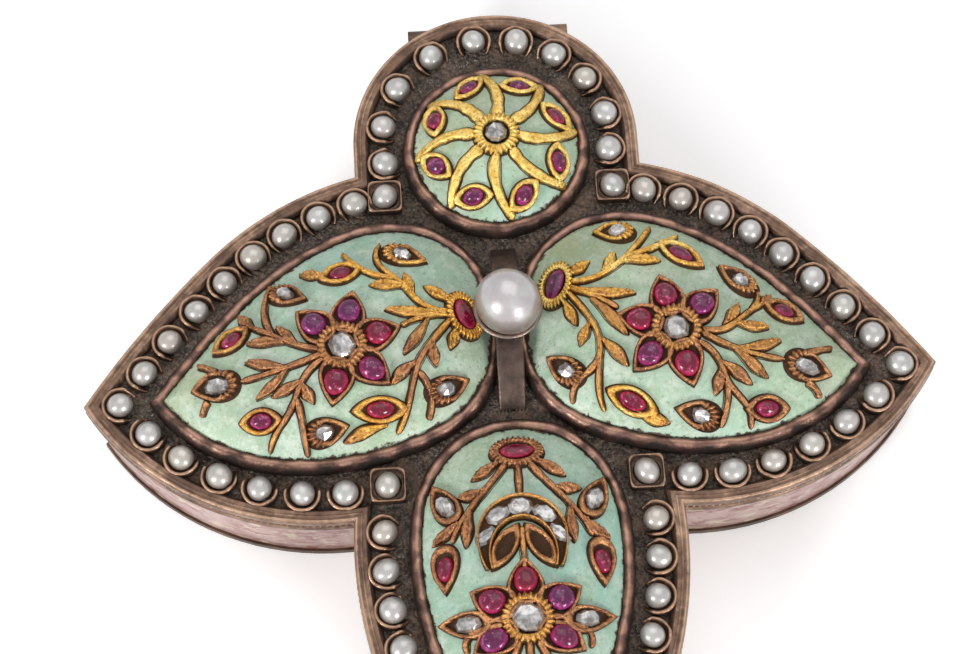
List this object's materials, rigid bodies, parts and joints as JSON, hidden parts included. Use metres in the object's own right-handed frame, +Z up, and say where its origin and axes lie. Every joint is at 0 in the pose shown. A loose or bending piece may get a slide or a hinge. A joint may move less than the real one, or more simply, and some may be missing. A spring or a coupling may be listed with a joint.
{
  "type": "jeweled box",
  "caption": "Small four-lobed trinket box with a hinged enamelled lid, pearl-set border, jewelled flower sprays, a pinwheel boss and a pearl knob.",
  "frame": {"origin": "on the flat underside of the base plate, straight below the centre of the pearl knob", "axes": "+Z up out of the lid, +Y towards the round hinged lobe, -Y towards the long front lobe, +X to the right seen from the front"},
  "size_m": [0.082, 0.0888, 0.0203],
  "materials": {
    "dark_bronze": "oxidised copper alloy, dark granular patina with bright rubbed edges",
    "worn_gilt": "worn gilding over copper, chased and pitted",
    "gilt_metal": "bright gilding, slightly rough",
    "green_enamel": "pale turquoise-green enamel, mottled, satin gloss",
    "pink_enamel": "pale mauve-pink enamel with faint mottling",
    "ruby": "polished red and purple cabochons",
    "diamond": "grey-white rose-cut stones",
    "pearl": "lustrous grey-white nacre"
  },
  "bodies": {
    "box": {"base_plate": "dark_bronze", "box_wall": "dark_bronze", "side_enamel": "pink_enamel", "hinge_seat": "dark_bronze", "body_knuckles": "dark_bronze", "hinge_pin": "dark_bronze"},
    "lid": {"bezel_back": "dark_bronze", "bezel_front": "dark_bronze", "bezel_left": "dark_bronze", "bezel_right": "dark_bronze", "bridge_strap": "dark_bronze", "collets_front": "worn_gilt", "collets_left": "worn_gilt", "collets_right": "worn_gilt", "crescent": "worn_gilt", "crescent_diamonds": "diamond", "diamond_back": "diamond", "diamonds_front": "diamond", "diamonds_left": "diamond", "diamonds_right": "diamond", "edge_moulding": "dark_bronze", "enamel_back": "green_enamel", "enamel_front": "green_enamel", "enamel_left": "green_enamel", "enamel_right": "green_enamel", "knob_pearl": "pearl", "lid_flange": "dark_bronze", "lid_knuckles": "dark_bronze", "lid_plate": "dark_bronze", "lid_skirt": "dark_bronze", "milled_wire": "dark_bronze", "pearl_collets_back": "dark_bronze", "pearl_collets_front": "dark_bronze", "pearl_collets_left": "dark_bronze", "pearl_collets_right": "dark_bronze", "pearl_cup": "dark_bronze", "pearl_peg": "dark_bronze", "pearls_back": "pearl", "pearls_front": "pearl", "pearls_left": "pearl", "pearls_right": "pearl", "pinwheel_arms": "gilt_metal", "pinwheel_hub": "gilt_metal", "rubies_back": "ruby", "rubies_front": "ruby", "rubies_left": "ruby", "rubies_right": "ruby", "skirt_enamel": "pink_enamel", "spray_front": "worn_gilt", "spray_left": "worn_gilt", "spray_right": "worn_gilt"}
  },
  "joints": [
    {"name": "lid_hinge", "type": "hinge", "parent": "box", "child": "lid", "pos_m": [0, 0.0339, 0.0075], "axis": [-1, 0, 0], "range_deg": [0, 100]}
  ]
}
